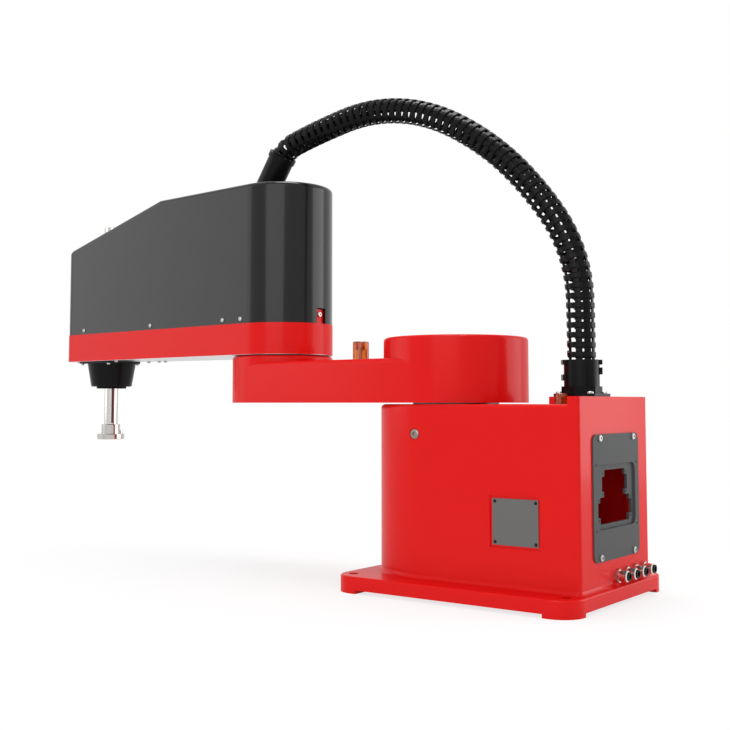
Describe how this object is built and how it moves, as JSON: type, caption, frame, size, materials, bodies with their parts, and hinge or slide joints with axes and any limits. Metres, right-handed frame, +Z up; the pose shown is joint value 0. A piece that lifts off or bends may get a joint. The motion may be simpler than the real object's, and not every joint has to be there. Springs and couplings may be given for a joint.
{
  "type": "horizontal articulated robot arm with spline shaft",
  "caption": "Four-axis robot arm: cast base, two level arms turning on upright axes, a sliding and turning hollow spline shaft with a round tool flange, and an external cable conduit.",
  "frame": {"origin": "centre of the four floor bolts on the mounting plane", "axes": "+Z up, +X along the stretched arm, +Y towards the side with the nameplate"},
  "size_m": [0.8859, 0.236, 0.5848],
  "materials": {
    "red_paint": "satin red paint on a casting",
    "grey_plate": "matte dark grey",
    "plate_metal": "satin",
    "steel": "satin",
    "chrome": "polished",
    "black_steel": "satin",
    "bearing_steel": "polished",
    "shaft_steel": "polished",
    "motor_housing": "matte",
    "bracket_metal": "satin",
    "pulley_metal": "satin",
    "black_plastic": "satin",
    "black_cover": "satin",
    "hose_plastic": "satin",
    "seal_rubber": "matte",
    "belt_rubber": "matte",
    "amber_rubber": "gloss"
  },
  "bodies": {
    "base": {"base_casting": "red_paint", "connector_panel": "grey_plate", "panel_screws": "steel", "nameplate": "plate_metal", "nameplate_rivets": "steel", "side_plug": "steel", "fitting_bodies": "chrome", "fitting_nuts": "chrome", "fitting_collets": "chrome", "conduit_flange": "black_plastic", "flange_screws": "black_steel", "conduit_gland": "black_plastic", "j1_stop_bumpers": "amber_rubber", "j1_stop_screws": "black_steel", "j1_bearing": "bearing_steel", "j1_reducer": "bearing_steel", "j1_motor": "motor_housing", "conduit_lower": "hose_plastic"},
    "arm_1": {"arm_1_casting": "red_paint", "j1_output_flange": "bearing_steel", "j2_stop_bumper": "amber_rubber", "j2_stop_screw": "black_steel", "j2_reducer": "bearing_steel", "conduit_upper": "hose_plastic"},
    "arm_2": {"arm_2_casting": "red_paint", "j2_output_flange": "bearing_steel", "j2_motor": "motor_housing", "ground_screw": "steel", "cover_screws": "steel", "upper_cover": "black_cover", "elbow_tube": "black_plastic", "nose_flange": "black_plastic", "nose_cone": "black_plastic", "nose_seal": "seal_rubber", "underside_screws": "steel", "spline_bearing": "bearing_steel", "motor_bracket": "bracket_metal", "j3_motor": "motor_housing", "j4_motor": "motor_housing", "j3_belt": "belt_rubber", "j4_belt": "belt_rubber"},
    "spline": {"spline_nut": "bearing_steel", "spline_pulley": "pulley_metal"},
    "screw_nut": {"screw_nut": "bearing_steel", "screw_pulley": "pulley_metal"},
    "j3_drive": {"j3_motor_pulley": "pulley_metal"},
    "j4_drive": {"j4_motor_pulley": "pulley_metal"},
    "shaft": {"shaft": "shaft_steel", "stop_collar": "shaft_steel", "tool_flange": "shaft_steel", "clamp_screw": "black_steel"}
  },
  "joints": [
    {"name": "j1", "type": "hinge", "parent": "base", "child": "arm_1", "pos_m": [0.056, 0, 0], "axis": [0, 0, 1], "range_deg": [-132, 132], "deforming": ["conduit_lower"]},
    {"name": "j2", "type": "hinge", "parent": "arm_1", "child": "arm_2", "pos_m": [0.321, 0, 0], "axis": [0, 0, 1], "range_deg": [-147, 147], "deforming": ["conduit_upper"]},
    {"name": "j4", "type": "hinge", "parent": "arm_2", "child": "spline", "pos_m": [0.656, 0, 0], "axis": [0, 0, 1], "range_deg": [-360, 360]},
    {"name": "j3", "type": "slide", "parent": "spline", "child": "shaft", "axis": [0, 0, 1], "range_m": [-0.135, 0.045]},
    {"name": "j3_nut", "type": "hinge", "parent": "arm_2", "child": "screw_nut", "pos_m": [0.656, 0, 0], "axis": [0, 0, 1], "range_deg": [-2433, 813]},
    {"name": "j3_motor_shaft", "type": "hinge", "parent": "arm_2", "child": "j3_drive", "pos_m": [0.557, 0, 0], "axis": [0, 0, 1], "range_deg": [-3040, 1015]},
    {"name": "j4_motor_shaft", "type": "hinge", "parent": "arm_2", "child": "j4_drive", "pos_m": [0.493, 0, 0], "axis": [0, 0, 1], "range_deg": [-612, 612]}
  ],
  "couplings": [
    {"joint": "j3_nut", "follows": "j3", "rad_per_m": 314.16},
    {"joint": "j3_motor_shaft", "follows": "j3", "rad_per_m": 392.7},
    {"joint": "j4_motor_shaft", "follows": "j4", "ratio": 1.6923}
  ]
}
